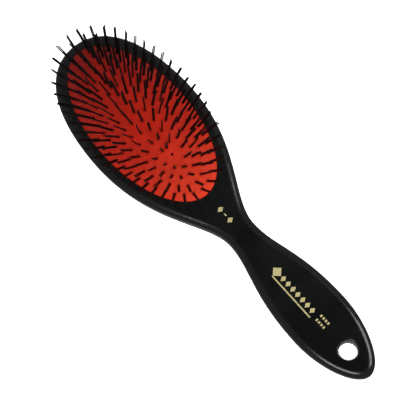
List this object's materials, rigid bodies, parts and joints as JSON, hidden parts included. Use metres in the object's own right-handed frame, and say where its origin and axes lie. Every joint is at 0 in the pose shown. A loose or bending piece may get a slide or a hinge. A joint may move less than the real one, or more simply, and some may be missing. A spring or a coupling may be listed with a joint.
{
  "type": "bristle brush",
  "caption": "Oval air-cushion grooming brush: folded nylon tufts through a domed rubber pad in a moulded head with a waisted neck, club handle and hanging hole.",
  "frame": {"origin": "under the middle of the overall length, on the plane that the back rests on", "axes": "+X along the brush from the head to the end of the handle, +Z out of the bristle side"},
  "size_m": [0.215, 0.061, 0.0392],
  "materials": {
    "body_plastic": "black, injection moulded and polished",
    "cushion_rubber": "red natural rubber, soft satin",
    "tuft_nylon": "black extruded nylon filament",
    "staple_steel": "bright drawn wire",
    "gold_foil": "pale gold hot-stamping foil"
  },
  "bodies": {
    "brush": {"brush_body": "body_plastic", "cushion_pad": "cushion_rubber", "foil_neck_mark": "gold_foil", "foil_grip_mark": "gold_foil", "foil_end_mark": "gold_foil"},
    "centre_row_tufts": {"tufts_centre_row": "tuft_nylon", "staples_centre_row": "staple_steel"},
    "ring_1_tufts": {"tufts_ring_1": "tuft_nylon", "staples_ring_1": "staple_steel"},
    "ring_2_tufts": {"tufts_ring_2": "tuft_nylon", "staples_ring_2": "staple_steel"},
    "ring_3_tufts": {"tufts_ring_3": "tuft_nylon", "staples_ring_3": "staple_steel"},
    "ring_4_tufts": {"tufts_ring_4": "tuft_nylon", "staples_ring_4": "staple_steel"},
    "ring_5_tufts": {"tufts_ring_5": "tuft_nylon", "staples_ring_5": "staple_steel"}
  },
  "joints": [
    {"name": "centre_row_press", "type": "slide", "parent": "brush", "child": "centre_row_tufts", "axis": [0, 0, 1], "range_m": [-0.0045, 0], "stiffness_N_per_m": 800, "deforming": ["cushion_pad"]},
    {"name": "ring_1_press", "type": "slide", "parent": "brush", "child": "ring_1_tufts", "axis": [0, 0, 1], "range_m": [-0.00102, 0]},
    {"name": "ring_2_press", "type": "slide", "parent": "brush", "child": "ring_2_tufts", "axis": [0, 0, 1], "range_m": [-0.00212, 0]},
    {"name": "ring_3_press", "type": "slide", "parent": "brush", "child": "ring_3_tufts", "axis": [0, 0, 1], "range_m": [-0.00304, 0]},
    {"name": "ring_4_press", "type": "slide", "parent": "brush", "child": "ring_4_tufts", "axis": [0, 0, 1], "range_m": [-0.00375, 0]},
    {"name": "ring_5_press", "type": "slide", "parent": "brush", "child": "ring_5_tufts", "axis": [0, 0, 1], "range_m": [-0.00436, 0]}
  ],
  "couplings": [
    {"joint": "ring_1_press", "follows": "centre_row_press", "ratio": 0.224},
    {"joint": "ring_2_press", "follows": "centre_row_press", "ratio": 0.468},
    {"joint": "ring_3_press", "follows": "centre_row_press", "ratio": 0.673},
    {"joint": "ring_4_press", "follows": "centre_row_press", "ratio": 0.831},
    {"joint": "ring_5_press", "follows": "centre_row_press", "ratio": 0.966}
  ]
}
